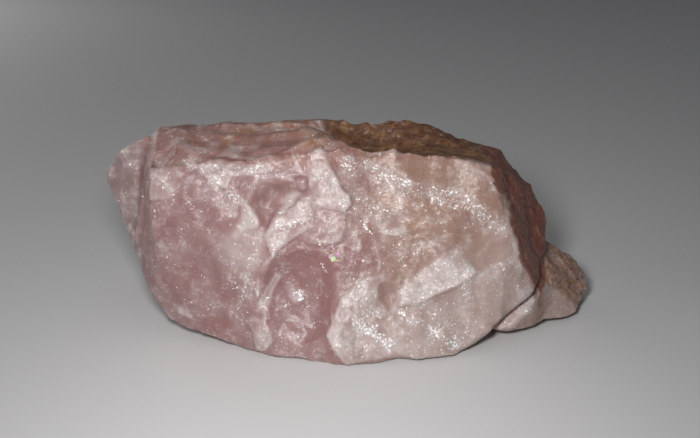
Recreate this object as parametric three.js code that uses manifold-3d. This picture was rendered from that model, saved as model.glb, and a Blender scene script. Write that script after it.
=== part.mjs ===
// A hand-sized chunk of massive rose quartz, broken out of a vein and resting on its flattest break.
// Units are millimetres. +X runs along the chunk towards its foot, -Y is the broad fresh break and +Z is up.
// The origin lies on the resting plane, under the middle of the chunk.
//
// Quartz has no cleavage: it parts in rough flats and then flakes in shallow shell-shaped scars. So the chunk
// is built the same way. Three convex lumps, given by the corners where their flats meet, are joined into one
// stone. Angular pits and broad scars are then struck off it by hand, and small chips follow along its edges.
import * as THREE from "three";
import { ConvexGeometry } from "three/addons/geometries/ConvexGeometry.js";
import { mergeVertices } from "three/addons/utils/BufferGeometryUtils.js";
import Module from "manifold-3d";

// ---- driving dimensions: corners as [x, y, z] ----

// The rim of the flat that the chunk rests on.
const BASE_RIM = [
  [-2, -29.5, 0], [-20, -25, 0], [-33, -16, 0], [-36, 6, 0], [-24, 19, 0], [8, 23, 0], [30, 17, 0], [25, -24, 0],
];
// The lower edge of the front, from the left heel round to the right.
const HEEL_EDGE = [
  [-49, -13, 6], [-47, -14, 4], [-20, -25, 0.5], [-2, -30, 0.5], [25.5, -26, 1.5], [38.5, -17, 7], [45, -14.5, 13],
];
// The upper edge of the front.
const FRONT_EDGE = [
  [-49, -12, 43], [-28, -13.5, 44.5], [-7, -10.5, 50], [2, -9, 48], [12, -10, 46], [27, -9, 45.5], [33.5, -9, 43.5],
];
// Where the flats of the front meet: down its middle, across its left and across its right.
const FRONT_CREST = [[-7, -12, 49], [-4.5, -14, 43], [-2.5, -24.5, 15]];
const LEFT_RIDGE = [[-48.5, -14, 24.5], [-34, -18, 25.5], [-22, -21, 25]];
const RIGHT_RIDGE = [[0, -16, 37.5], [11.5, -13.5, 38.5], [24.5, -12.5, 37.5], [35.5, -12.5, 36]];
const LOW_RIDGE = [[10.5, -22.5, 16.5], [28.5, -19.5, 19], [36, -19, 15]];
// The steep edge where the front turns into the right end, and the arris just behind it.
const RIGHT_EDGE = [[33.5, -9, 43.5], [37, -11, 35.5], [40.5, -14, 25], [42, -15, 19], [45, -14.5, 13]];
const RIGHT_ARRIS = [[36.5, -6, 42.5], [45.5, -9, 19], [47.5, -10, 12.5]];
// The crest along the back of the top, from left to right.
const CREST = [
  [-50, 8, 48.5], [-36, 10, 49], [-22, 8, 49.5], [-9, 4, 51], [-1.5, 14, 48], [13, 16, 48.5],
  [24.5, 17, 45], [29, 17, 43.5], [38, 14, 40.5], [41, 12, 36.5],
];
const RIGHT_END = [[44, 11, 33.5], [47, 10, 32], [51, 8, 24], [51, 6, 20]];
const LEFT_END = [[-56, -6, 18], [-57, 2, 30], [-54, 6, 44]];
// The steep old break at the back.
const BACK = [
  [-54, 20, 28], [-48, 24, 11], [-30, 30, 31], [-42, 18, 4], [-4, 31.5, 34], [2, 30, 9], [26, 30, 29],
  [40, 25, 24], [44, 20, 8], [20, 26, 4],
];
// The low foot that sticks out at the right.
const FOOT = [
  [36.5, -18, 3], [40, -16, 1.5], [46, -12, 2], [56, -6.5, 1.5], [59.5, -3.5, 2.5], [55, -4, 7], [50, -3, 14],
  [54, 10, 14.5], [60, 9, 11.5], [62.5, 7, 7.5], [63, 4, 4], [60, 0, 1], [46, 16, 17], [52, 18, 9],
  [54, 15, 1.5], [30, -10, 2], [30, 14, 2], [38, 4, 22],
];
// The thin fin that stands out at the left.
const FIN = [
  [-63, 2, 36.5], [-62.2, 2, 40.3], [-60.6, 2.5, 42.9], [-58, 3.5, 44.9], [-60, 0, 28.5], [-57.8, 0, 21.5],
  [-56, -4, 17], [-52.5, 6, 47], [-50, 8, 44], [-52, -2, 36], [-50, 14, 34], [-58, 10, 32], [-48, 4, 16],
];

// Angular pits. `rim` goes round the opening, `floor` holds the corners at the bottom and the pit opens the
// way it faces.
const PITS = [
  {
    name: "deep recess low on the front",
    facing: [-0.1, -0.95, 0.3],
    rim: [
      [-19.5, -20.5, 24.5], [-13, -19.5, 26], [-5.5, -20.5, 26], [-4, -23, 18], [-7, -28, 7], [-13, -26.5, 3.5],
      [-21, -24, 8], [-23.5, -22, 13.5],
    ],
    floor: [[-15.5, -18.5, 20], [-8, -20.5, 13.5], [-15.5, -22, 9.5], [-9, -23.5, 8]],
  },
  {
    name: "smooth patch high on the front",
    facing: [0, -0.95, 0.3],
    rim: [
      [-23.5, -14.5, 42], [-13, -14, 43], [-10.5, -15, 39.5], [-16.5, -15.5, 37.5], [-21, -18, 31],
      [-25.5, -17, 36.5],
    ],
    floor: [[-18.5, -12.5, 39], [-21, -14, 35.5]],
  },
  {
    name: "cavity behind the left ledge",
    facing: [-0.2, -0.2, 0.96],
    rim: [[-50, -10, 43.5], [-46, -10.5, 44], [-43.5, -3, 46], [-49.5, -3, 45]],
    floor: [[-47.5, -7, 41.5], [-47, -4.5, 42.5]],
  },
];

// Broad shell-shaped scars. Each is centred at a point of the surface and opens the way it faces: `rim` is the
// radius of its outline where the surface is flat, and `depth` how far its middle lies under that surface.
const SCARS = [
  { name: "front left upper break", at: [-38, -17, 34], facing: [-0.22, -0.95, 0.24], rim: 17, depth: 1.5 },
  { name: "front left lower break", at: [-37, -19, 14], facing: [-0.3, -0.95, 0.02], rim: 17, depth: 1.7 },
  { name: "front right upper break", at: [17, -13, 40], facing: [0.08, -0.9, 0.45], rim: 18, depth: 1.3 },
  { name: "front middle break", at: [6, -20, 28], facing: [0.12, -0.93, 0.36], rim: 18, depth: 1.6 },
  { name: "front right middle break", at: [28, -18, 27], facing: [0.2, -0.93, 0.3], rim: 17, depth: 1.8 },
  { name: "toe break", at: [6, -26.5, 9], facing: [0.1, -0.93, 0.32], rim: 12, depth: 1.3 },
  { name: "lower right break", at: [29, -22.5, 9.5], facing: [0.25, -0.93, 0.25], rim: 12, depth: 1.5 },
  { name: "right end break", at: [46, -2, 26], facing: [0.84, -0.39, 0.37], rim: 10, depth: 1.4 },
  { name: "foot break", at: [58, 7, 12.5], facing: [0.55, 0.1, 0.8], rim: 4, depth: 0.7 },
  { name: "shell under the fin", at: [-57, 6, 23], facing: [-0.85, 0.1, -0.5], rim: 6, depth: 1 },
  { name: "back left break", at: [-40, 27, 22], facing: [-0.35, 0.93, 0], rim: 20, depth: 2.6 },
  { name: "back middle break", at: [-8, 31, 24], facing: [0, 1, 0.1], rim: 19, depth: 2.2 },
  { name: "back right break", at: [26, 29, 20], facing: [0.2, 0.97, 0.1], rim: 20, depth: 2.4 },
  { name: "back low break", at: [6, 27, 6], facing: [0, 0.85, -0.5], rim: 14, depth: 2 },
  { name: "back crest break", at: [-28, 24, 40], facing: [-0.1, 0.6, 0.8], rim: 18, depth: 2.6 },
  { name: "back right crest break", at: [22, 25, 38], facing: [0.2, 0.75, 0.65], rim: 15, depth: 2.2 },
  { name: "arch left of the toe", at: [-16, -26, 0], facing: [0, -0.8, -0.6], rim: 4.5, depth: 1.4 },
  { name: "arch right of the toe", at: [12, -27, 0], facing: [0, -0.8, -0.6], rim: 4.5, depth: 1.2 },
];

// Long hollows, as stretched balls: centre, radii and turn about X, Y and Z in degrees.
const HOLLOWS = [
  { name: "basin behind the front edge", centre: [14, 3, 50.2], radii: [29, 13, 6.3], turn: [0, 3, -2] },
  { name: "shell on the left top", centre: [-28, -2, 50.6], radii: [20, 11.5, 5.5], turn: [13, 0, 3] },
  { name: "groove beside the fin", centre: [-54.5, -8.5, 27], radii: [2.2, 4, 20], turn: [0, 8, 0] },
];

// Small chips along the edges: how far apart they are, the range of their rims and their depth to rim.
const CHIP_EDGES = [FRONT_EDGE, HEEL_EDGE, RIGHT_EDGE, CREST];
const CHIP_SPACING = 5.5;
const CHIP_RIM = [1.2, 3.2];
const CHIP_DEPTH = 0.18;
const CHIP_SEED = 11;
// The line through the middle of the chunk that its edges face away from, as [y, z], and how much they lean
// out towards its ends.
const SPINE = [5, 22];
const END_LEAN = 0.35;

// Facets on the scars are about this long.
const FACET = 3.6;
// How far a pit's cutter stands clear of the surface.
const PIT_CLEARANCE = 8;

const FINISH = { color: 0xbf9a96, roughness: 0.35, metalness: 0 };

// ---- solids ----

const wasm = await Module();
wasm.setup();

// A closed geometry as a solid that can be joined and cut.
function solidOf(geometry) {
  const bare = geometry.clone();
  bare.deleteAttribute("normal");
  bare.deleteAttribute("uv");
  const merged = mergeVertices(bare, 1e-4);
  const vertProperties = merged.getAttribute("position").array;
  const triVerts = new Uint32Array(merged.index.array);
  return new wasm.Manifold(new wasm.Mesh({ numProp: 3, vertProperties, triVerts }));
}

// The convex lump that has the given corners.
function lump(...groups) {
  const corners = groups.flat().map((corner) => new THREE.Vector3(...corner));
  return solidOf(new ConvexGeometry(corners));
}

function ball(centre, radii, turn = [0, 0, 0]) {
  const detail = Math.max(2, Math.round((1.1 * Math.max(...radii)) / FACET) - 1);
  const place = new THREE.Matrix4().compose(
    new THREE.Vector3(...centre),
    new THREE.Quaternion().setFromEuler(new THREE.Euler(...turn.map(THREE.MathUtils.degToRad))),
    new THREE.Vector3(...radii),
  );
  return solidOf(new THREE.IcosahedronGeometry(1, detail).applyMatrix4(place));
}

// The ball that leaves a scar of the given rim and depth.
function scar({ at, facing, rim, depth }) {
  const radius = (rim * rim + depth * depth) / (2 * depth);
  const outward = new THREE.Vector3(...facing).normalize();
  const centre = new THREE.Vector3(...at).addScaledVector(outward, radius - depth);
  return ball(centre.toArray(), [radius, radius, radius]);
}

function pit({ rim, floor, facing }) {
  const clear = new THREE.Vector3(...facing).setLength(PIT_CLEARANCE);
  const mouth = rim.map((corner) => new THREE.Vector3(...corner).add(clear).toArray());
  return lump(rim, floor, mouth);
}

// Chips spaced along one edge, each facing away from the chunk's spine and of a size drawn from the range.
function chipsAlong(edge) {
  const path = new THREE.CurvePath();
  for (let i = 1; i < edge.length; i += 1) {
    path.add(new THREE.LineCurve3(new THREE.Vector3(...edge[i - 1]), new THREE.Vector3(...edge[i])));
  }
  const steps = Math.round(path.getLength() / CHIP_SPACING);
  return path.getSpacedPoints(steps).map((at) => {
    const facing = [at.x * END_LEAN, at.y - SPINE[0], at.z - SPINE[1]];
    const rim = THREE.MathUtils.lerp(CHIP_RIM[0], CHIP_RIM[1], random() ** 2);
    return scar({ at: at.toArray(), facing, rim, depth: rim * CHIP_DEPTH });
  });
}

function random() {
  return THREE.MathUtils.seededRandom();
}

function buildStone() {
  const body = lump(
    BASE_RIM, HEEL_EDGE, FRONT_EDGE, FRONT_CREST, LEFT_RIDGE, RIGHT_RIDGE, LOW_RIDGE,
    RIGHT_EDGE, RIGHT_ARRIS, CREST, RIGHT_END, LEFT_END, BACK,
  );
  const whole = body.add(lump(FOOT)).add(lump(FIN));
  THREE.MathUtils.seededRandom(CHIP_SEED);
  const cutters = [
    ...SCARS.map(scar),
    ...HOLLOWS.map(({ centre, radii, turn }) => ball(centre, radii, turn)),
    ...PITS.map(pit),
    ...CHIP_EDGES.flatMap(chipsAlong),
  ];
  const struck = cutters.reduce((stone, cutter) => stone.subtract(cutter), whole);
  // Slivers that come right off are dropped.
  return struck.decompose().reduce((largest, piece) => (piece.volume() > largest.volume() ? piece : largest));
}

// A solid's surface as a geometry, moved so that the middle of its box stands over the origin.
function geometryOf(solid) {
  const mesh = solid.getMesh();
  const geometry = new THREE.BufferGeometry();
  geometry.setAttribute("position", new THREE.BufferAttribute(mesh.vertProperties, 3));
  geometry.setIndex(new THREE.BufferAttribute(mesh.triVerts, 1));
  geometry.computeBoundingBox();
  const middle = geometry.boundingBox.getCenter(new THREE.Vector3());
  geometry.translate(-middle.x, -middle.y, 0);
  geometry.computeVertexNormals();
  return geometry;
}

const chunk = new THREE.Mesh(geometryOf(buildStone()), new THREE.MeshStandardMaterial(FINISH));
chunk.name = "rose_quartz";

const part = new THREE.Group();
part.add(chunk);
export default part;
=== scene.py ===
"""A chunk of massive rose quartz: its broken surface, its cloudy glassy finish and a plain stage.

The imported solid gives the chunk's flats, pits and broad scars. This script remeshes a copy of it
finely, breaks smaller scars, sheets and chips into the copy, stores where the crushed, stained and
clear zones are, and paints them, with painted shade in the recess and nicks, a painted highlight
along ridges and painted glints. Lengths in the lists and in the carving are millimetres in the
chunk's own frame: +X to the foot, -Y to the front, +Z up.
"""
import math
import random
from collections import namedtuple

import bmesh
import bpy
import numpy as np
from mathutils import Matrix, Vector, noise


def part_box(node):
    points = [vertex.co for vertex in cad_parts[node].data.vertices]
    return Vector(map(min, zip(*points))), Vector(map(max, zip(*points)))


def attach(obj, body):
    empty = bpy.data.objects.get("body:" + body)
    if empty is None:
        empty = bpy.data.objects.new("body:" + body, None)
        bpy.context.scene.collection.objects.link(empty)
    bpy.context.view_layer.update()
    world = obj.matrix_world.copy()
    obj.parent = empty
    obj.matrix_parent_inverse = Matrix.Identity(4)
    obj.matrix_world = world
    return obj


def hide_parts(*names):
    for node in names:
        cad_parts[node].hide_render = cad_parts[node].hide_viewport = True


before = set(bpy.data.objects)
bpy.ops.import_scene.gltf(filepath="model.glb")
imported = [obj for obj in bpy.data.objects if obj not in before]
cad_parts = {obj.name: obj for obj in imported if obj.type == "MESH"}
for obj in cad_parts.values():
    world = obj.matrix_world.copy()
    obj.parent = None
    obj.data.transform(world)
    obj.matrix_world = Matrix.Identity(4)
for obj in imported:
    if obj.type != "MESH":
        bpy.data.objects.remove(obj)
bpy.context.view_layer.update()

bl_info = {
    "name": "Rose quartz chunk",
    "version": (1, 0, 0),
    "blender": (4, 5, 0),
    "location": "3D View > Sidebar > Rose Quartz",
    "description": "Builds a broken and stained chunk of rose quartz and a plain stage for it",
    "category": "Add Mesh",
}

MM = 0.001
NODE = "rose_quartz"

# Columns of a table of points, and the two of them that outlines of the front or top are drawn in.
X, Y, Z = range(3)
FRONT = [X, Z]
TOP = [X, Y]

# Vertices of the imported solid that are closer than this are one.
SAME_PLACE = 0.002 * MM

# A zone's distance is held between these, in millimetres: negative outside it and positive inside.
FAR_OUT = -6.0
FAR_IN = 3.0

# ----------------------------------------------------------------------------
# Places on the chunk
# ----------------------------------------------------------------------------

# A patch is bounded by an outline. It stands proud by `rise` at the side it grows `towards`, and by
# nothing at its far side. A negative rise sinks it. `white` is how strongly it is crushed white.
Patch = namedtuple("Patch", "name outline rise towards white", defaults=(1.0,))

# Crushed white patches of the front, with outlines in x and z.
FROST = [
    Patch("spur crest", [
        (-8.8, 50), (-7.5, 50), (-6.9, 48), (-5.6, 45.4), (-4.3, 43.4), (-2.8, 40.3), (-1, 38.9),
        (-0.5, 36.6), (-2, 35.4), (-6.7, 36), (-9.3, 37), (-10, 40), (-11, 43.3), (-10, 47),
    ], 1.3, (1, -0.2)),
    Patch("spur fan", [
        (-13.5, 40), (-12.4, 38.6), (-8.2, 38.9), (-7, 36.5), (-10.5, 35), (-10.5, 31.6),
        (-13.4, 29.7), (-16.3, 28.2), (-18.1, 26.7), (-19.4, 24.8), (-21, 29.2), (-20.9, 30.6),
        (-18.7, 34), (-16.6, 36.2), (-16.4, 38.2),
    ], 1.0, (-0.7, -0.6)),
    Patch("spur skirt", [
        (-11, 35.5), (-6.7, 36.5), (-2, 35.8), (-2, 31.5), (-2.8, 29.1), (-4.6, 27.9), (-10.3, 28),
        (-12.8, 29.2), (-11, 31.6),
    ], 0.8, (0.8, -0.6), 0.4),
    Patch("ledge band", [
        (-39, 45), (-35.5, 45.5), (-27, 45), (-20, 46.5), (-19.5, 44.5), (-23.5, 43.5), (-29, 43),
        (-30.5, 40), (-33.5, 41), (-35, 42.5),
    ], 0.3, (0, -1)),
    Patch("pale fan", [
        (-27, 38.5), (-24.5, 36), (-22.5, 33), (-23, 31.5), (-26, 31), (-28.5, 28.5), (-29.5, 29.5),
        (-27, 33),
    ], 0.5, (1, 0)),
    Patch("square block", [
        (-49, 43.5), (-47, 44.5), (-42.5, 44), (-43, 40.5), (-44, 37.5), (-49.5, 36.5),
    ], 0.7, (-0.8, -0.6), 0.5),
    Patch("flag", [
        (19, 22.5), (22, 25), (25.5, 25.5), (27.5, 22), (30.5, 20), (25.5, 17), (20, 15),
        (15.5, 13.5), (11, 13.5), (12, 17.5), (16.5, 20.5),
    ], 1.1, (0.5, -1)),
    Patch("toe block", [
        (-3, 16), (0.5, 19), (3, 20.5), (7, 21), (8.5, 19.5), (6, 18.5), (6, 15), (9, 11.5),
        (12, 7.5), (11, 2.5), (7, 1.5), (-2, 0.5), (-5, 4.5), (-6.5, 7.5),
    ], 0.9, (-1, 0)),
    Patch("nub", [
        (-26.5, 8.5), (-24.5, 10), (-21.5, 9.5), (-20, 7), (-20, 4), (-21.5, 1.5), (-24, 1.5),
        (-24.5, 6),
    ], 0.9, (1, -0.5)),
    Patch("low right hook", [
        (5.5, 33), (6.5, 33), (8, 30.5), (12.5, 31), (13, 30), (10.5, 29.2), (7, 29.5),
    ], 0.2, (0, -1)),
    Patch("fleck right of the spur", [
        (-0.5, 29), (1.5, 28.8), (2, 27), (1.2, 25.8), (0, 26.5),
    ], 0.2, (1, 0)),
    Patch("fleck in the recess", [(-16, 16), (-12, 16), (-12.5, 13.5), (-14.5, 13)], 0.4, (1, -1)),
    Patch("strip in the recess", [
        (-19, 20.5), (-17.5, 19.5), (-20, 15), (-21, 10), (-23.5, 12.5), (-21.5, 16.5),
    ], 0.5, (1, 0)),
    Patch("heel fleck", [(-45, 9), (-42, 8.8), (-40.5, 6.5), (-44, 6.8)], 0.3, (0, -1)),
    Patch("right knob", [(40.5, 14.5), (45, 13), (46, 9), (44, 6.5), (41, 7)], 0.5, (1, 0)),
]

# Places where the clear rose of the inside shows darker, partly with painted shade in recesses and
# nicks, in x and z.
DEEP_ROSE_AND_SHADE = [
    Patch("recess", [
        (-19.5, 24.5), (-13, 26.5), (-7, 27), (-4, 24), (-4, 17.5), (-5, 12), (-8, 8), (-13, 8.5),
        (-19, 9.5), (-22.5, 14), (-22, 21),
    ], 0.3, (0.2, 1)),
    Patch("right of the spur", [
        (-1.5, 28), (3, 30), (8, 27), (10, 22), (3, 21), (-2.5, 18), (-3, 24),
    ], -0.3, (-1, 0)),
    Patch("triangle nick", [(6.3, 18.2), (10.2, 16.5), (9, 13.5), (6.3, 14.5)], -1.1, (-1, 0.6)),
    Patch("nick under the flag", [
        (20, 14.7), (25.5, 16.7), (24.5, 12.5), (21, 12.3),
    ], -1.1, (-0.4, 1)),
    Patch("heel nick", [(-31, 3.5), (-27, 3), (-27.5, 1.5), (-31, 2)], -0.4, (0, 1)),
]

# Ground of the front that only differs in height, in x and z.
FILLS = [
    Patch("smooth shell under the top edge", [
        (-24, 42), (-14, 43), (-11, 42.5), (-11, 39.5), (-14, 39.5), (-16.5, 37.5), (-17.5, 35),
        (-21.5, 31), (-24, 34), (-27, 38),
    ], 1.6, (0.9, 0.6)),
]

# The crevice where the foot grows out of the front is filled up to here, in x and z.
ROOT = Patch("root of the foot", [
    (36, 0.8), (39, 5), (43, 10), (45.5, 14), (50, 11), (51.5, 6), (50, 2), (45, 0.8),
], 4.5, (-1, 0.2))

# The hollow behind the top edge, in x and y, and how far it is filled.
GUTTER = [(-48, 7), (-48, -11), (-30, -12), (-12, -12.5), (-4, -9), (-4, 7)]
GUTTER_FILL = 2.0

# Hazy pale ground of the front, in x and z.
HAZE = [
    [
        (9, 12), (12, 18), (20, 23), (26, 22), (31, 27), (37, 31), (40, 24), (46, 12), (46, 7),
        (38, 4), (25, 1), (10, 1),
    ],
    [(-27, 33), (-22, 30), (-24, 22), (-32, 20), (-34, 28)],
]

# Crushed speckled bands of the front: half width, then corners in x and z.
BANDS = [
    (1.0, [(-39.5, 44.3), (-34, 44.6), (-28, 44.2), (-21, 45.3)]),
    (0.8, [(-34.5, 42.4), (-30.1, 39.5), (-26, 37.5)]),
    (1.7, [
        (-2, 45.5), (4.5, 44), (9.5, 41.5), (13.5, 39.5), (18.5, 38.5), (23.5, 37), (28, 36),
        (32, 33), (35.5, 31),
    ]),
    (0.9, [(12, 11.8), (14.6, 9.5), (21, 6), (24, 3)]),
    (0.7, [(-26, 20), (-23, 17), (-21, 12)]),
]

# Pale healed cracks of the front, in the same form.
SEAMS = [
    (0.25, [(-18.6, 27.5), (-19.8, 25), (-21.8, 22.4), (-23, 20.1), (-23.3, 16)]),
    (0.25, [(-14.5, 47.5), (-13, 45), (-11.5, 41.5)]),
    (0.2, [(-5.5, 17), (-5, 10), (-3.8, 5), (-1.8, 0.5)]),
    (0.25, [(14, 13.5), (20, 15), (26, 17.5), (29, 19.8), (31.5, 19)]),
    (0.2, [(5, 28), (6.2, 24), (5.8, 21)]),
    (0.3, [(29, 20.2), (25.8, 25.6)]),
    (0.35, [
        (27, 44.3), (32, 42.3), (36.4, 35.7), (38, 30.4), (39.4, 25), (40.2, 21.3), (42.6, 16.8),
        (44, 12),
    ]),
]

# Clusters of glittering crystal faces on the front, where specks, bump faces and painted glints lie
# thicker, in the same form.
GLITTER = [
    (1.5, [(-8, 28.5), (-5.5, 26.5), (-4, 24.5)]),
    (0.8, [(2, 33), (3.8, 30.5)]),
    (0.9, [(12, 11.8), (14.6, 9.5), (21, 6), (24, 3)]),
    (0.7, [(-42, 38.5), (-39, 35)]),
    (0.6, [(-25, 41), (-22.5, 39)]),
    (0.7, [(-15, 16.5), (-12, 13)]),
    (1.2, [(0, 10.5), (4, 8.5), (8, 5)]),
    (0.8, [(-30, 18), (-27, 14.5)]),
    (0.8, [(-3.5, 38), (-1.5, 35)]),
    (1.0, [(-18, 32), (-13, 33)]),
]

# Where a hidden crack splits the light into colours, so painted glints there take random colours,
# in the same form.
RAINBOW = [(1.7, [(-7, 27.5), (-4.5, 25)])]

# Smooth clear shells of the front, in x and z.
CALM = [
    [(6, 46), (16, 46), (28, 44), (32, 40), (36, 34), (33, 33.5), (28, 38.5), (18, 41), (10, 43.5)],
    [
        (-24, 42), (-14, 42.5), (-12.5, 39.8), (-17, 38.5), (-18, 35), (-21.5, 31.5), (-24, 34),
        (-27, 38),
    ],
    [(26, 24.7), (30.3, 19.8), (35.8, 21.8), (39.8, 24), (38.2, 27.7), (30.8, 27.1)],
]

# Painted glints: single bright streaks on the front, in the same form.
PAINTED_GLINT_STREAKS = [
    (0.2, [(-41, 38.2), (-38.1, 35.5)]),
    (0.2, [(-39, 39.4), (-37.7, 37.9)]),
    (0.25, [(-48.3, 34.4), (-48.2, 32.1)]),
    (0.2, [(-23.1, 43.4), (-21, 42.6)]),
    (0.15, [(-40.8, 31.8), (-39, 30.2)]),
    (0.3, [(-34.9, 30.2), (-34.5, 29.9)]),
    (0.15, [(-17.1, 11.9), (-15, 13.8)]),
    (0.2, [(5, 24.2), (7.8, 23)]),
    (0.15, [(-28.4, 13.8), (-27, 12.6)]),
    (0.7, [(-5.4, 25.3), (-4.9, 24.7)]),
    (0.35, [(2.6, 31.8), (3.2, 30.9)]),
    (0.4, [(-6.6, 26.6), (-5.8, 25.6)]),
    (0.25, [(-8, 23.5), (-6.5, 21)]),
]

# Amber tints of the front, in the same form.
AMBER = [
    (1.6, [(14, 31.5), (16.5, 31.8)]),
    (1.2, [(19, 36.5), (28, 35)]),
    (1.0, [(6, 38), (12, 36), (18, 35)]),
]

# How far right the front reaches at each height, in z and x. Past it is the stained right end.
EDGE_HEIGHTS = [0, 5, 11.7, 16.8, 21.3, 25, 30.4, 35.7, 41.7, 50]
EDGE_PLACES = [47, 47, 45.6, 43, 40.6, 40, 38.7, 37.2, 33.2, 31]

# How far right the stained end reaches before the foot takes over, in z and x.
END_HEIGHTS = [8, 16, 20]
END_PLACES = [47, 48, 60]

# Height of the thin stained crest of the top edge, the middle of it in x, and half its length.
CREST_HEIGHT = 50.6
CREST_MIDDLE = -16
CREST_REACH = 8

# Zones of the top, in x and y.
BASIN = [
    (-8, 9), (-3, 4.5), (1, -5), (9, -8.5), (16, -8.5), (24, -7.5), (35, -6), (42, 8), (38, 22),
    (20, 26), (5, 26), (-6, 22),
]
SHELF = [(-1, -8), (2, -5), (9, -6), (11.5, -9), (9, -11), (1, -11)]
OCHRE = [(-33.2, -4), (-33.5, 0), (-31, 4), (-26, 7), (-24.5, 4.5), (-29, 1.5), (-31, -3)]
BLUSH = [
    [(-46, 0), (-46, 7), (-38, 7), (-39, 0)],
    [(-49.5, -9), (-41, -10), (-41, -4), (-47, -3.5)],
]


class SolidError(Exception):
    """The chunk can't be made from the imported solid."""


# ----------------------------------------------------------------------------
# Number helpers
# ----------------------------------------------------------------------------

def ease(values, low, high):
    """0 below low, 1 above high and a smooth rise between."""
    t = np.clip((values - low) / (high - low), 0, 1)
    return t * t * (3 - 2 * t)


def inside(points, outline):
    """How far each 2-D point lies inside an outline, in the points' unit: negative outside it."""
    corners = np.array(outline, float)
    nearest = np.full(len(points), np.inf)
    within = np.zeros(len(points), bool)
    for a, b in zip(corners, np.roll(corners, -1, axis=0)):
        edge = b - a
        t = np.clip(((points - a) @ edge) / (edge @ edge), 0, 1)
        nearest = np.minimum(nearest, np.linalg.norm(points - a - t[:, None] * edge, axis=1))
        crosses = (a[1] > points[:, 1]) != (b[1] > points[:, 1])
        rise = np.where(b[1] == a[1], 1, b[1] - a[1])
        within ^= crosses & (points[:, 0] < (b[0] - a[0]) * (points[:, 1] - a[1]) / rise + a[0])
    return np.where(within, nearest, -nearest)


def lift(points, patch):
    """How far across a patch each 2-D point is: 0 at its low side, 1 where it stands proud."""
    towards = np.array(patch.towards, float)
    towards /= np.linalg.norm(towards)
    corners = np.array(patch.outline) @ towards
    return np.clip((points @ towards - corners.min()) / np.ptp(corners), 0, 1)


def grain(points, size, octaves=3, offset=0.0):
    """Fractal noise of about -1 to 1 at each point, with lumps of the given size."""
    shift = Vector((offset, 1.7 * offset, -0.6 * offset))
    return np.array([noise.fractal(Vector(p) / size + shift, 0.9, 2.1, octaves) for p in points])


# ----------------------------------------------------------------------------
# The chunk's surface
# ----------------------------------------------------------------------------

class Carving:
    """A fine mesh whose vertices are moved in millimetres, as a sculptor's tools move them."""

    def __init__(self, mesh):
        self.mesh = mesh
        self.points = self._read(mesh.vertices, "co") / MM
        pairs = np.zeros(len(mesh.edges) * 2, np.int32)
        mesh.edges.foreach_get("vertices", pairs)
        pairs = pairs.reshape(-1, 2)
        self.ends = np.concatenate([pairs, pairs[:, ::-1]])
        self.degree = np.bincount(self.ends[:, 0], minlength=len(self.points))
        self.refresh()

    @staticmethod
    def _read(items, name):
        flat = np.zeros(len(items) * 3, np.float32)
        items.foreach_get(name, flat)
        return flat.reshape(-1, 3).astype(float)

    def refresh(self):
        """Writes the points to the mesh and reads its normals again."""
        self.mesh.vertices.foreach_set("co", (self.points * MM).astype(np.float32).ravel())
        self.mesh.update()
        self.normals = self._read(self.mesh.vertex_normals, "vector")

    def freedom(self):
        """How free points are to move: the flat that the chunk rests on stays flat."""
        return ease(self.points[:, Z], 0.15, 1.2)

    def push(self, amount):
        """Moves each point outwards along its normal."""
        self.points += self.normals * (amount * self.freedom())[:, None]

    def average(self, values):
        """Each point's mean over the points that it shares an edge with."""
        first, second = self.ends[:, 0], self.ends[:, 1]
        count = len(self.degree)
        columns = [np.bincount(first, column[second], minlength=count) for column in values.T]
        return np.stack(columns, axis=1) / self.degree[:, None]

    def relax(self, share, rounds=1):
        """Softens the surface: share is how far points go to the mean of their neighbours."""
        for _ in range(rounds):
            way = self.average(self.points) - self.points
            self.points += way * (share * self.freedom())[:, None]

    def bulge(self, rounds):
        """How far each point stands out of the smoothed surface: ridges are positive."""
        smoothed = self.points
        for _ in range(rounds):
            smoothed = self.average(smoothed)
        return ((self.points - smoothed) * self.normals).sum(axis=1)

    def raise_patch(self, patch, where):
        """Raises or sinks a patch of the front, where it applies."""
        flat = self.points[:, FRONT]
        edge = ease(inside(flat, patch.outline), -0.25, 0.35)
        self.push(patch.rise * lift(flat, patch) * edge * where)


def fine_copy(source, voxel):
    """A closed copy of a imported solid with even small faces, ready for carving."""
    mesh = source.data.copy()
    mesh.name = "rose_quartz_surface"
    merged = bmesh.new()
    merged.from_mesh(mesh)
    bmesh.ops.remove_doubles(merged, verts=merged.verts, dist=SAME_PLACE)
    merged.to_mesh(mesh)
    merged.free()
    piece = bpy.data.objects.new("rose_quartz_chunk", mesh)
    bpy.context.scene.collection.objects.link(piece)
    remesh = piece.modifiers.new("Even faces", "REMESH")
    remesh.mode = "VOXEL"
    remesh.voxel_size = voxel
    remesh.adaptivity = 0
    evaluated = piece.evaluated_get(bpy.context.evaluated_depsgraph_get())
    fine = bpy.data.meshes.new_from_object(evaluated)
    piece.modifiers.clear()
    piece.data = fine
    bpy.data.meshes.remove(mesh)
    if not fine.polygons:
        raise SolidError("the packed solid gave an empty surface")
    return piece


def faces_front(carving):
    """1 where a point looks to the front, 0 where it looks elsewhere."""
    return ease(-carving.normals[:, Y], 0.25, 0.5) * ease(-carving.points[:, Y], -4, 2)


def warped(points, *waves):
    """The points shifted by smooth noise, so that what is laid over them has ragged outlines."""
    moved = points.copy()
    for size, amount in waves:
        moved += amount * np.array([noise.noise_vector(Vector(p) / size) for p in points])
    return moved


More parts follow.
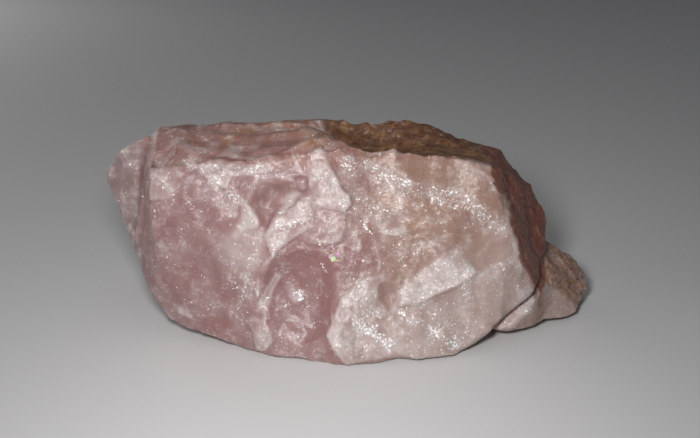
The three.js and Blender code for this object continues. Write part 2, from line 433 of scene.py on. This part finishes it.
def bowls(carving, chosen, draw, count, lengths, depth_share):
    """How far overlapping shell-shaped scars push each point: the deepest wins at each place."""
    points = warped(carving.points, (6, 1.0), (2.2, 0.35))
    lowest = np.zeros(len(points))
    for _ in range(count):
        i = chosen[draw.randrange(len(chosen))]
        turn = np.array([draw.uniform(-1, 1) for _ in range(3)])
        facing = carving.normals[i] + 0.12 * turn
        facing /= np.linalg.norm(facing)
        along = np.cross(facing, turn)
        along /= np.linalg.norm(along)
        length = lengths[0] + (lengths[1] - lengths[0]) * draw.random() ** 2
        width = length * draw.uniform(0.45, 0.95)
        depth = width * draw.uniform(0.5, 1.0) * depth_share
        close = np.nonzero(np.abs(points - points[i]).max(axis=1) < 1.3 * length)[0]
        local = points[close] - points[i]
        forward = local @ along / length
        sideways = local @ np.cross(facing, along) / width
        spread = forward * forward + sideways ** 2 + (local @ facing / length) ** 2
        bowl = -depth * (1 - spread) * (1 + 0.7 * forward)
        lowest[close] = np.minimum(lowest[close], np.where(spread < 1, bowl, 0))
    return lowest


def terraces(points, size, steps, rise):
    """Flat treads parted by crisp risers, as where quartz breaks in sheets."""
    level = steps * grain(points * (1, 1, 0.6), size, 3, 7.0)
    tread = np.floor(level)
    return rise * (tread + ease(level - tread, 0.7, 1.0) - 0.5)


def facets(points, size, lean):
    """Small flat faces that each lean their own way, with little steps between them."""
    heights = []
    for point in points / size:
        centre = noise.voronoi(Vector(point))[1][0]
        tilt = noise.noise_vector(centre * 9.7)
        heights.append((Vector(point) - centre).dot(tilt))
    return lean * size * np.array(heights)


def union(points, outlines):
    """The signed distance into whichever outline each point lies deepest in."""
    reach = np.full(len(points), FAR_OUT)
    for outline in outlines:
        reach = np.maximum(reach, inside(points, outline))
    return np.minimum(reach, FAR_IN)


def beside(points, lines):
    """How far inside the half width of some line each 2-D point lies."""
    reach = np.full(len(points), FAR_OUT)
    for half_width, corners in lines:
        corners = np.array(corners, float)
        for a, b in zip(corners, corners[1:]):
            t = np.clip(((points - a) @ (b - a)) / ((b - a) @ (b - a)), 0, 1)
            away = np.linalg.norm(points - a - t[:, None] * (b - a), axis=1)
            reach = np.maximum(reach, half_width - away)
    return reach


def end_reach(points, normals):
    """How far past the front's right edge each point is, up to where the foot takes over."""
    past_edge = points[:, X] - np.interp(points[:, Z], EDGE_HEIGHTS, EDGE_PLACES)
    past_end = points[:, X] - np.interp(points[:, Z], END_HEIGHTS, END_PLACES)
    end = np.minimum(past_edge * 1.5, FAR_IN) + np.minimum((normals[:, X] - 0.3) * 8, 0)
    end -= np.maximum(past_end, 0) * 1.5
    end += 3 * grain(points, 6, 3, 5.0) * ease(normals[:, Z], 0.2, 0.5)
    return end


def foot_reach(points):
    """How far out each point is past the sloping line where the foot starts."""
    foot = (points[:, Z] - 11.1 + 0.84 * (points[:, X] - 49.5)) * 0.8 + (points[:, Y] + 5) * 0.3
    return foot - np.maximum(48 - points[:, X], 0) * 1.5


def white_veil(points, looks_front):
    """How crushed white each point is: by the patches in front, and by noise elsewhere."""
    front = points[:, FRONT]
    veil = np.zeros(len(points))
    for patch in FROST:
        across = lift(front, patch)
        edge = ease(inside(front, patch.outline), -1.2 + across, 1.2 - across)
        veil = np.maximum(veil, patch.white * (0.4 + 0.6 * across) * edge)
    streaks = ease(grain(points, 9, 4, 11.0), 0.15, 0.45)
    elsewhere = 0.8 * streaks * ease(grain(points, 30, 2, 3.0), -0.2, 0.3)
    return np.where(looks_front, veil, elsewhere)


def zones(carving):
    """Where each finish is: mostly signed distances in millimetres, positive inside the zone."""
    points, normals = carving.points, carving.normals
    front, top = points[:, FRONT], points[:, TOP]
    looks_front = faces_front(carving) > 0.5
    looks_up = np.minimum((normals[:, Z] - 0.1) * 10, (points[:, Z] - 30) * 0.7)
    off_crest = 2.5 * np.abs(points[:, Z] - CREST_HEIGHT)
    off_crest += np.maximum(np.abs(points[:, X] - CREST_MIDDLE) - CREST_REACH, 0)

    def on_front(reach):
        return np.where(looks_front, reach, FAR_OUT)

    def on_top(outlines):
        return np.maximum(np.minimum(union(top, outlines), looks_up), FAR_OUT)

    return {
        "veil": white_veil(points, looks_front),
        "seam": on_front(beside(front, SEAMS)),
        "glitter": on_front(beside(front, GLITTER)),
        "rainbow": on_front(beside(front, RAINBOW)),
        "calm": on_front(union(front, CALM)),
        "dash": on_front(beside(front, PAINTED_GLINT_STREAKS)),
        "frost": on_front(union(front, [patch.outline for patch in FROST])),
        "window": on_front(union(front, [patch.outline for patch in DEEP_ROSE_AND_SHADE])),
        "haze": on_front(union(front, HAZE)),
        "band": on_front(beside(front, BANDS)),
        "amber": on_front(beside(front, AMBER)),
        "basin": on_top([BASIN]),
        "shelf": on_top([SHELF]),
        "ochre": on_top([OCHRE]),
        "blush": on_top(BLUSH),
        "crest": np.clip(FAR_IN - off_crest, FAR_OUT, FAR_IN),
        "end": np.clip(end_reach(points, normals), FAR_OUT, FAR_IN),
        "foot": np.clip(foot_reach(points), FAR_OUT, FAR_IN),
        # How far each point stands out as a ridge, for the painted highlight along ridges.
        "ridge": np.clip(carving.bulge(5) / 0.2, -1, 1),
    }


def scars_and_sheets(carving, settings, draw, seen):
    """How far the scars and the broken sheets move each point, less on the front, top and fin."""
    everywhere = np.arange(len(carving.points))
    plain_top = ease(carving.normals[:, Z], 0.5, 0.8) * ease(-carving.points[:, X], 0, 10)
    rough = 1 - 0.55 * np.maximum(seen, plain_top)
    broad = bowls(carving, everywhere, draw, settings.broad_scars, (6, 17), 0.09)
    small = bowls(carving, everywhere, draw, settings.small_scars, (2, 6), 0.13)
    sheets = terraces(warped(carving.points, (3, 0.5)), 14, 5, 0.3)
    relief = broad * (0.5 + 0.5 * rough) + small * rough + sheets * (0.3 + 0.7 * rough)
    thick = ease(carving.points[:, X], -56, -47)
    return (relief - np.median(relief)) * (0.3 + 0.7 * thick)


def fill_root_and_gutter(carving, seen):
    """Fills the crevice where the foot meets the front, and the hollow behind the top edge."""
    upward = carving.normals[:, Z]
    carving.raise_patch(ROOT, seen * ease(upward, 0.2, 0.4))
    near_root = ease(inside(carving.points[:, FRONT], ROOT.outline), -3, 0)
    near_root *= ease(-carving.points[:, Y], 4, 7)
    carving.relax(0.5 * near_root, rounds=24)
    in_gutter = ease(inside(carving.points[:, TOP], GUTTER), 0, 6) * ease(upward, 0.3, 0.6)
    carving.push(GUTTER_FILL * in_gutter)


def carve(carving, settings):
    """Breaks the flats and arrises into the scars, sheets and crushed ground of raw quartz."""
    draw = random.Random(settings.seed)
    # A seed of 0 would take the clock's time, and every run would differ.
    noise.seed_set(settings.seed + 1)
    carving.push(0.35 * grain(carving.points, 13, 3, 2.0))
    carving.refresh()
    seen = faces_front(carving)
    where = zones(carving)
    crushed = 0.5 * ease(where["frost"], -0.8, 0.6) + 0.5 * ease(where["band"], -1, 1)
    smooth = ease(np.maximum(where["window"], where["calm"]), -0.8, 1)
    ground = facets(warped(carving.points, (1.5, 0.2)), 3.6, 0.25)
    carving.push(scars_and_sheets(carving, settings, draw, seen))
    carving.refresh()
    for patch in FROST + DEEP_ROSE_AND_SHADE + FILLS:
        carving.raise_patch(patch, seen)
    fill_root_and_gutter(carving, seen)
    carving.relax(0.3)
    carving.relax(0.5 * smooth, rounds=16)
    carving.refresh()
    arrises = np.nonzero(carving.bulge(10) > 0.15)[0]
    chips = bowls(carving, arrises, draw, settings.chips, (0.8, 3.2), 0.22)
    carving.push(chips * (1 - 0.7 * smooth) + ground * (0.3 - 0.15 * seen + 0.7 * crushed))
    carving.refresh()


def build_chunk(settings):
    """The carved chunk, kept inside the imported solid's box, with its zones as attributes."""
    piece = fine_copy(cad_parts[NODE], settings.face_size)
    carving = Carving(piece.data)
    carve(carving, settings)
    low, high = (np.array(corner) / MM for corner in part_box(NODE))
    carving.points = np.clip(carving.points, low, high)
    carving.refresh()
    for name, values in zones(carving).items():
        attribute = piece.data.attributes.new(name, "FLOAT", "POINT")
        attribute.data.foreach_set("value", values.astype(np.float32))
    piece.data.shade_smooth()
    return piece


# ----------------------------------------------------------------------------
# Shader maths
# ----------------------------------------------------------------------------

class Wire:
    """A socket's value in a material, for use in ordinary expressions."""

    def __init__(self, paint, socket):
        self.paint = paint
        self.socket = socket

    def _math(self, operation, *operands):
        inputs = dict(enumerate(operands))
        node = self.paint.node("ShaderNodeMath", {"operation": operation}, inputs)
        return Wire(self.paint, node.outputs[0])

    def __add__(self, other):
        return self._math("ADD", self, other)

    def __sub__(self, other):
        return self._math("SUBTRACT", self, other)

    def __rsub__(self, other):
        return self._math("SUBTRACT", other, self)

    def __mul__(self, other):
        return self._math("MULTIPLY", self, other)

    def __pow__(self, other):
        return self._math("POWER", self, other)

    __radd__ = __add__
    __rmul__ = __mul__

    def size(self):
        return self._math("ABSOLUTE", self)

    def most(self, other):
        return self._math("MAXIMUM", self, other)

    def ease(self, low, high):
        """0 below low, 1 above high and a smooth rise between."""
        settings = {"interpolation_type": "SMOOTHSTEP"}
        inputs = {"Value": self, "From Min": low, "From Max": high}
        return Wire(self.paint, self.paint.node("ShaderNodeMapRange", settings, inputs).outputs[0])


class Paint:
    """A material's node tree, built one node at a time."""

    def __init__(self, name):
        self.material = bpy.data.materials.new(name)
        self.material.use_nodes = True
        self.tree = self.material.node_tree
        self.tree.nodes.clear()
        place = self.node("ShaderNodeTexCoord")
        self.place = Wire(self, place.outputs["Object"])

    def node(self, kind, settings=None, inputs=None):
        """Any node: its settings are set first, then its sockets' values or links."""
        node = self.tree.nodes.new(kind)
        for name, value in (settings or {}).items():
            setattr(node, name, value)
        for key, value in (inputs or {}).items():
            if isinstance(value, Wire):
                self.tree.links.new(value.socket, node.inputs[key])
            else:
                node.inputs[key].default_value = value
        return node

    def amount(self, name):
        """An attribute's value."""
        node = self.node("ShaderNodeAttribute", {"attribute_name": name})
        return Wire(self, node.outputs["Fac"])

    def noise(self, size, detail, roughness, distortion=0.0, offset=(0, 0, 0), squash=(1, 1, 1)):
        """Noise of 0 to 1 with lumps of the given size in millimetres."""
        inputs = {
            "Vector": self.vector("ADD", self.vector("MULTIPLY", self.place, squash), offset),
            "Scale": 1 / (size * MM),
            "Detail": detail,
            "Roughness": roughness,
            "Distortion": distortion,
        }
        return Wire(self, self.node("ShaderNodeTexNoise", None, inputs).outputs["Fac"])

    def vector(self, operation, first, second):
        node = self.node("ShaderNodeVectorMath", {"operation": operation}, {0: first, 1: second})
        return Wire(self, node.outputs[0])

    def along(self, axis):
        """The object's own coordinate along one axis, in millimetres."""
        split = self.node("ShaderNodeSeparateXYZ", None, {0: self.place})
        return Wire(self, split.outputs[axis]) * (1 / MM)

    def mix(self, amount, first, second):
        """The first colour where the amount is 0 and the second where it is 1."""
        settings = {"data_type": "RGBA", "clamp_factor": True}
        node = self.node("ShaderNodeMix", settings, {0: amount, 6: first, 7: second})
        return Wire(self, node.outputs[2])

    def finish(self, **inputs):
        """Ends the material in a Principled shader with these sockets."""
        named = {name.replace("_", " "): value for name, value in inputs.items()}
        shader = self.node("ShaderNodeBsdfPrincipled", None, named)
        self.node("ShaderNodeOutputMaterial", None, {"Surface": Wire(self, shader.outputs[0])})
        return self.material


class QuartzPaint(Paint):
    """The stone's finish, laid on in coats: the rose inside first and the painted glints last."""

    def __init__(self, settings):
        super().__init__("Rose quartz")
        self.settings = settings
        self.body = self.tint("rose")

        self.cloud = self.noise(8, 5, 0.55, 0.3, (0.3, 0, 0))
        self.lump = self.noise(3.2, 5, 0.6, 0.2, (0, 0.2, 0))
        self.grit = self.noise(0.8, 3, 0.65, 0.0, (0, 0, 0.1))
        self.fleck = self.noise(1.0, 3, 0.6, 0.6, (0.1, 0.1, 0))
        self.glint = self.noise(0.55, 1, 0.5, 0.8, (0, 0.3, 0.4))
        self.fibre = self.noise(1.6, 3, 0.6, 0.3, (0.4, 0, 0), (1, 1, 0.3))
        self.swirl = self.vein(self.noise(5, 3, 0.5, 1.2, (0, 0.5, 0.2)))
        self.torn_edge = (self.cloud - 0.5) * 4 + (self.lump - 0.5) * 2.5 + (self.grit - 0.5) * 0.8

        self.window = self.zone("window", -2, 2.5)
        self.haze = self.zone("haze", -3, 2.5)
        self.band = self.zone("band", -1.5, 1)
        self.glitter = self.zone("glitter", -0.8, 0.6, 0.5)
        self.calm = self.zone("calm", -1, 1, 0.6)
        self.crest = self.zone("crest", -2, 1.5)
        self.rust = self.zone("basin", -1, 1, 1.3)
        self.foot = self.zone("foot", -1, 1)
        self.end = self.zone("end", -0.1, 1.2, 0.6)
        self.east = self.beyond("X", -8, 10, 30)
        self.stained = (self.rust * 0.97).most(self.end * 0.9).most(self.foot * 0.75)
        self.patch = self.crushed_patch()
        self.density = self.speck_density()
        self.specks = (self.fleck + self.density).ease(0.60, 0.76)

    def tint(self, name):
        return tuple(getattr(self.settings, name))

    def coat(self, amount, colour):
        """Covers the finish so far with a colour, by an amount of 0 to 1."""
        self.body = self.mix(amount, self.body, colour)

    def vein(self, noise_value):
        """1 where noise crosses its middle, falling off to either side."""
        return 1 - (2 * noise_value - 1).size()

    def zone(self, name, low, high, torn=1.0):
        """0 outside a carved zone and 1 inside it, with a torn edge."""
        return (self.amount(name) + self.torn_edge * torn).ease(low, high)

    def beyond(self, axis, low, high, torn):
        """0 before one place along an axis and 1 past the next, with a torn edge."""
        return (self.along(axis) + (self.cloud - 0.5) * torn).ease(low, high)

    def crushed_patch(self):
        """How white the crushed patches are, cloudy and gritty rather than even."""
        veil = self.amount("veil")
        return veil * (0.75 + 0.5 * self.lump.ease(0.35, 0.65)) + (self.grit - 0.5) * 0.3 * veil

    def speck_density(self):
        """How thickly specks, crystal faces and painted glints lie, above or below the usual."""
        density = 0.07 * self.patch + 0.14 * self.band + 0.04 * self.haze + 0.10 * self.glitter
        density = density + 0.4 * (self.cloud - 0.5) + 0.3 * (self.lump - 0.5)
        return density - 0.12 * self.calm + 0.03 * self.east

    def lay_rose(self):
        """The cloudy rose, tan to the right, and deeper where it is clear and where shade is
        painted into the recess and nicks.
        """
        broad = self.noise(22, 3, 0.5)
        streak = self.noise(3.5, 4, 0.6, 0.2, (0.2, 0, 0), (1, 1, 0.22))
        self.coat(broad.ease(0.35, 0.65), self.tint("mauve"))
        self.coat(self.east * 0.85, self.tint("tan"))
        self.coat(streak.ease(0.4, 0.75) * 0.35, self.tint("pale"))
        # Deeper rose in the recess and nicks: partly the clear inside, partly painted shade.
        self.coat(self.window * 0.5, self.tint("deep"))

    def lay_tints(self):
        """Russet and red on top, amber along the crest and a grey lilac fin."""
        skyward = self.beyond("Z", 44, 46.5, 6)
        fin = 1 - self.beyond("X", -56, -52, -8)
        self.coat(skyward * self.swirl.ease(0.5, 0.9) * 0.75, self.tint("russet"))
        self.coat(skyward * self.fibre.ease(0.52, 0.66) * 0.45, self.tint("pale"))
        self.coat(self.zone("blush", -2, 1.5) * 0.7, self.tint("liver"))
        self.coat(self.calm * (0.12 + 0.12 * self.east), self.tint("ochre"))
        self.coat(self.crest * 0.7, self.tint("amber"))
        self.coat(fin * 0.8, self.tint("grey"))
        self.coat(fin * self.lump.ease(0.45, 0.62) * 0.3, self.tint("frost"))
        self.coat(self.zone("amber", -1.2, 1) * 0.5, self.tint("amber"))
        self.coat(self.zone("ochre", -0.8, 1, 0.6) * 0.9, self.tint("amber"))

    def lay_iron(self):
        """The brown hollow on top, the brown foot and the dark red right end."""
        brown = self.mix(self.lump.ease(0.4, 0.7), self.tint("rust"), self.tint("ochre"))
        yellower = self.mix(self.lump.ease(0.3, 0.5), self.tint("rust"), self.tint("ochre"))
        self.coat(self.rust * 0.97, brown)
        self.coat(self.foot * 0.9, yellower)
        self.coat(self.foot * self.fleck.ease(0.42, 0.58) * 0.75, self.tint("pale"))
        self.coat(self.zone("end", -1.2, -0.2, 0.6) * 0.6, self.tint("tan"))
        self.coat(self.end * 0.95, self.tint("liver"))
        self.coat(self.zone("shelf", -0.8, 1) * 0.6, self.tint("tan"))

    def white_of_veils(self):
        """How white clouds, crushed patches, hazy ground and the heel are."""
        clouds = self.cloud.ease(0.42, 0.62) * 0.17 + self.lump.ease(0.5, 0.62) * 0.1
        veil = clouds * (1 - 0.7 * self.crest)
        veil = veil + self.patch * (0.5 + 0.4 * self.fibre.ease(0.4, 0.6))
        veil = veil + 0.4 * self.haze + 0.15 * self.band
        heel = self.beyond("X", 47, 50, 6)
        # Less white in the recess and nicks, partly painted shade, and on the smooth clear shells.
        veil = veil * (1 - 0.35 * self.window - 0.4 * self.calm)
        return veil + 0.25 * heel * (1 - self.foot)

    def pale_lines(self):
        """Healed cracks, rims of crushed patches, a painted highlight along ridges and fine
        threads.
        """
        seam = self.zone("seam", -0.35, 0.15, 0.12) * self.lump.ease(0.35, 0.6)
        past_rim = self.zone("frost", 0.2, 0.9, 0.2)
        rim = self.zone("frost", -0.3, 0.2, 0.2) * (1 - past_rim) * self.amount("veil")
        threads = self.vein(self.noise(7, 4, 0.55, 0.6, (0.6, 0.1, 0))) ** 40
        lines = (seam * 0.6).most(rim * 0.5)
        # Painted highlight along ridges, where thin edges would pass light.
        lines = lines.most(self.amount("ridge").ease(0.35, 1) * 0.25)
        return lines.most(threads * self.lump.ease(0.4, 0.6) * 0.5)

    def lay_white(self):
        """Everything crushed, cracked or cloudy, the painted highlight along ridges, and pale veins
        in the stains.
        """
        clean = 1 - self.stained
        self.coat(self.grit.ease(0.3, 0.7) * 0.22 * clean, self.tint("mauve"))
        self.coat(self.white_of_veils() * (0.8 + 0.4 * self.grit) * clean, self.tint("frost"))
        self.coat(self.pale_lines() * clean, self.tint("frost"))
        self.coat(self.swirl ** 12 * 0.25 * self.stained, self.tint("tan"))

    def lay_glitter(self):
        """White specks, and painted glints of bright crystal faces, coloured where a hidden crack
        splits the light.
        """
        # Painted glints: tiny faces and streaks coloured near white, standing in for reflections of
        # the lamp.
        painted_glint_field = self.glint + 0.65 * self.density + 0.04 * self.glitter
        dash = (self.amount("dash") + (self.glint - 0.5) * 1.2).ease(0.05, 0.2)
        painted_glint = painted_glint_field.ease(0.72, 0.77).most(dash * 0.8)
        inputs = {"Vector": self.place, "Scale": 1 / (0.8 * MM)}
        hues = self.node("ShaderNodeTexVoronoi", None, inputs)
        rainbow = self.zone("rainbow", -0.3, 0.6, 0.5) * 0.8
        painted_glint_colour = self.mix(rainbow, self.tint("painted_glint_colour"), Wire(self, hues.outputs["Color"]))
        self.coat(self.specks * (1 - self.stained) * 0.6, self.tint("frost"))
        self.coat(painted_glint * (1 - 0.8 * self.stained), painted_glint_colour)

    def crystal_faces(self, size, offset):
        """Height in metres of small flat faces that each lean their own way."""
        moved = self.vector("ADD", self.place, offset)
        inputs = {"Vector": moved, "Scale": 1 / (size * MM)}
        cells = self.node("ShaderNodeTexVoronoi", {"feature": "F1"}, inputs)
        local = self.vector("SUBTRACT", moved, Wire(self, cells.outputs["Position"]))
        lean = self.vector("SUBTRACT", Wire(self, cells.outputs["Color"]), (0.5, 0.5, 0.5))
        product = {"operation": "DOT_PRODUCT"}
        height = self.node("ShaderNodeVectorMath", product, {0: local, 1: lean})
        return Wire(self, height.outputs["Value"])

    def relief(self):
        """Height in metres of crystal faces, grit, lumps and fibres."""
        faces = self.crystal_faces(1.1, (0.01, 0, 0)) + self.crystal_faces(0.5, (0, 0.02, 0))
        faces = faces * (0.14 + 0.3 * self.specks + 0.2 * self.stained)
        fine = self.grit * 0.05 + self.lump * 0.1 + self.fibre * self.patch * 0.15
        return faces + fine * MM


def quartz_paint(settings):
    """The whole finish of the chunk, one material."""
    paint = QuartzPaint(settings)
    paint.lay_rose()
    paint.lay_tints()
    paint.lay_iron()
    paint.lay_white()
    paint.lay_glitter()
    heights = {"Strength": 1.0, "Distance": 1.0, "Height": paint.relief()}
    bump = paint.node("ShaderNodeBump", None, heights)
    roughness = 0.4 - 0.14 * paint.specks + 0.06 * paint.rust - 0.12 * paint.end - 0.06 * paint.foot
    return paint.finish(
        Base_Color=paint.body,
        Roughness=roughness,
        Normal=Wire(paint, bump.outputs[0]),
        IOR=1.54,
        Subsurface_Weight=0.5,
        Subsurface_Radius=(1.0, 0.6, 0.55),
        Subsurface_Scale=2 * MM,
    )


# ----------------------------------------------------------------------------
# Settings, operators and panel
# ----------------------------------------------------------------------------

def colour(name, description, default):
    """A colour that a user can change."""
    return bpy.props.FloatVectorProperty(
        name=name, description=description, default=(*default, 1.0),
        size=4, min=0, max=1, subtype="COLOR",
    )


class ChunkSettings(bpy.types.PropertyGroup):
    """Sizes and colours of the stone."""

    face_size: bpy.props.FloatProperty(
        name="Face size", description="Side of the faces that the surface is carved in",
        default=0.53 * MM, min=0.4 * MM, max=3 * MM, unit="LENGTH", precision=5,
    )
    seed: bpy.props.IntProperty(
        name="Seed", description="Changes where the scars and chips fall", default=4, min=0,
    )
    broad_scars: bpy.props.IntProperty(
        name="Broad scars", description="Scars 12 to 34 mm across", default=110, min=0,
    )
    small_scars: bpy.props.IntProperty(
        name="Small scars", description="Scars 4 to 12 mm across", default=650, min=0,
    )
    chips: bpy.props.IntProperty(
        name="Chips", description="Small shells along the arrises", default=420, min=0,
    )
    rose: colour("Rose", "Main colour of the stone", (0.272, 0.130, 0.124))
    mauve: colour("Mauve", "Cooler parts of the rose", (0.285, 0.160, 0.160))
    pale: colour("Pale rose", "Cloudier parts of the stone", (0.38, 0.27, 0.255))
    tan: colour("Tan", "The warmer right side", (0.325, 0.205, 0.15))
    # Deep rose, also used as painted shade in the recess and nicks.
    deep: colour("Deep rose", "Clear parts where the inside shows", (0.25, 0.115, 0.108))
    frost: colour("Frost", "Crushed white quartz", (0.58, 0.495, 0.475))
    # Painted glint colour: stands in for reflections of the lamp on tiny crystal faces.
    painted_glint_colour: colour("Spark", "Tiny bright crystal faces", (0.95, 0.93, 0.93))
    grey: colour("Grey lilac", "Cloudy left fin", (0.24, 0.185, 0.18))
    rust: colour("Rust", "Iron stain in the hollows", (0.092, 0.030, 0.008))
    ochre: colour("Ochre", "Lighter, yellower iron stain", (0.25, 0.115, 0.035))
    amber: colour("Amber", "Orange tint along the crest", (0.32, 0.145, 0.055))
    liver: colour("Liver", "Dark red stain on the right end", (0.17, 0.048, 0.03))
    russet: colour("Russet", "Faint warm stain on top", (0.30, 0.125, 0.085))


class StageSettings(bpy.types.PropertyGroup):
    """The camera, lights and floor."""

    elevation: bpy.props.FloatProperty(
        name="Camera elevation", description="Angle of the camera above the floor",
        default=math.radians(22), subtype="ANGLE",
    )
    distance: bpy.props.FloatProperty(
        name="Camera distance", description="From the camera to the point it looks at",
        default=0.268, unit="LENGTH",
    )
    lens: bpy.props.FloatProperty(
        name="Lens", description="Focal length of the camera", default=55, unit="CAMERA",
    )
    key: bpy.props.FloatProperty(
        name="Key light", description="Power of the main light", default=0.195, unit="POWER",
    )
    floor: colour("Floor", "Colour of the floor", (0.62, 0.61, 0.61))


class ROSEQUARTZ_OT_chunk(bpy.types.Operator):
    """Carve the rose quartz chunk and give it its finish"""

    bl_idname = "rosequartz.chunk"
    bl_label = "Build the chunk"
    bl_options = {"REGISTER", "UNDO"}

    def execute(self, context):
        settings = context.scene.rose_quartz_chunk
        piece = build_chunk(settings)
        piece.data.materials.clear()
        piece.data.materials.append(quartz_paint(settings))
        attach(piece, "root")
        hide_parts(NODE)
        return {"FINISHED"}


class ROSEQUARTZ_OT_stage(bpy.types.Operator):
    """Lay the floor, hang the lights and place the camera"""

    bl_idname = "rosequartz.stage"
    bl_label = "Set the stage"
    bl_options = {"REGISTER", "UNDO"}

    def execute(self, context):
        settings = context.scene.rose_quartz_stage
        lay_floor(settings)
        hang_lights(settings)
        place_camera(settings)
        return {"FINISHED"}


# Places and sizes on the stage are in metres, powers in watts.
Lamp = namedtuple("Lamp", "name place size power spread", defaults=(math.pi,))
SOFT_LAMPS = [
    Lamp("Fill light", (-0.30, -0.10, 0.14), 0.25, 0.13),
    Lamp("Back light", (-0.35, 0.40, 0.16), 0.3, 0.32),
    Lamp("Overhead light", (0.05, 0.0, 0.45), 0.3, 0.1),
]
KEY_PLACE = (-0.02, -0.185, 0.13)
KEY_SIZE = 0.04
KEY_SPREAD = math.radians(130)
ROOM_COLOUR = (0.8, 0.83, 0.87, 1)
ROOM_STRENGTH = 0.12
FLOOR_HALF_SIDE = 3
SENSOR_WIDTH = 36

# What the camera and the lights look at.
AIM = Vector((-0.0009, -0.007, 0.029))


def aim(thing):
    """Turns a camera or a light to what it looks at."""
    thing.rotation_euler = (AIM - thing.location).to_track_quat("-Z", "Y").to_euler()


def place_camera(settings):
    data = bpy.data.cameras.new("Camera")
    data.lens = settings.lens
    data.sensor_width = SENSOR_WIDTH
    data.clip_start = 0.01
    camera = bpy.data.objects.new("Camera", data)
    back = Vector((0, -math.cos(settings.elevation), math.sin(settings.elevation)))
    camera.location = AIM + settings.distance * back
    aim(camera)
    bpy.context.scene.collection.objects.link(camera)
    bpy.context.scene.camera = camera


def area_light(lamp):
    data = bpy.data.lights.new(lamp.name, "AREA")
    data.shape = "DISK"
    data.size = lamp.size
    data.energy = lamp.power
    data.spread = lamp.spread
    light = bpy.data.objects.new(lamp.name, data)
    light.location = lamp.place
    aim(light)
    bpy.context.scene.collection.objects.link(light)


def hang_lights(settings):
    """A small key light near the camera, soft lights round it and a dim room."""
    for lamp in [Lamp("Key light", KEY_PLACE, KEY_SIZE, settings.key, KEY_SPREAD)] + SOFT_LAMPS:
        area_light(lamp)
    world = bpy.data.worlds.new("Room")
    world.use_nodes = True
    background = world.node_tree.nodes["Background"]
    background.inputs["Color"].default_value = ROOM_COLOUR
    background.inputs["Strength"].default_value = ROOM_STRENGTH
    bpy.context.scene.world = world
    bpy.context.scene.view_settings.view_transform = "Standard"


def lay_floor(settings):
    mesh = bpy.data.meshes.new("floor")
    sheet = bmesh.new()
    bmesh.ops.create_grid(sheet, x_segments=1, y_segments=1, size=FLOOR_HALF_SIDE)
    sheet.to_mesh(mesh)
    sheet.free()
    floor = bpy.data.objects.new("floor", mesh)
    bpy.context.scene.collection.objects.link(floor)
    paint = Paint("Floor")
    mesh.materials.append(paint.finish(Base_Color=tuple(settings.floor), Roughness=0.7))


class ROSEQUARTZ_PT_panel(bpy.types.Panel):
    """Rose quartz chunk and stage"""

    bl_idname = "ROSEQUARTZ_PT_panel"
    bl_label = "Rose Quartz"
    bl_space_type = "VIEW_3D"
    bl_region_type = "UI"
    bl_category = "Rose Quartz"

    def draw(self, context):
        for settings, operator in (
            (context.scene.rose_quartz_chunk, ROSEQUARTZ_OT_chunk),
            (context.scene.rose_quartz_stage, ROSEQUARTZ_OT_stage),
        ):
            box = self.layout.box()
            for name in settings.bl_rna.properties.keys():
                if name not in ("rna_type", "name"):
                    box.prop(settings, name)
            box.operator(operator.bl_idname)


CLASSES = (
    ChunkSettings,
    StageSettings,
    ROSEQUARTZ_OT_chunk,
    ROSEQUARTZ_OT_stage,
    ROSEQUARTZ_PT_panel,
)


def register():
    for cls in CLASSES:
        bpy.utils.register_class(cls)
    bpy.types.Scene.rose_quartz_chunk = bpy.props.PointerProperty(type=ChunkSettings)
    bpy.types.Scene.rose_quartz_stage = bpy.props.PointerProperty(type=StageSettings)


def unregister():
    del bpy.types.Scene.rose_quartz_stage
    del bpy.types.Scene.rose_quartz_chunk
    for cls in reversed(CLASSES):
        bpy.utils.unregister_class(cls)


def main():
    register()
    bpy.ops.rosequartz.chunk()
    bpy.ops.rosequartz.stage()


if __name__ == "__main__":
    main()
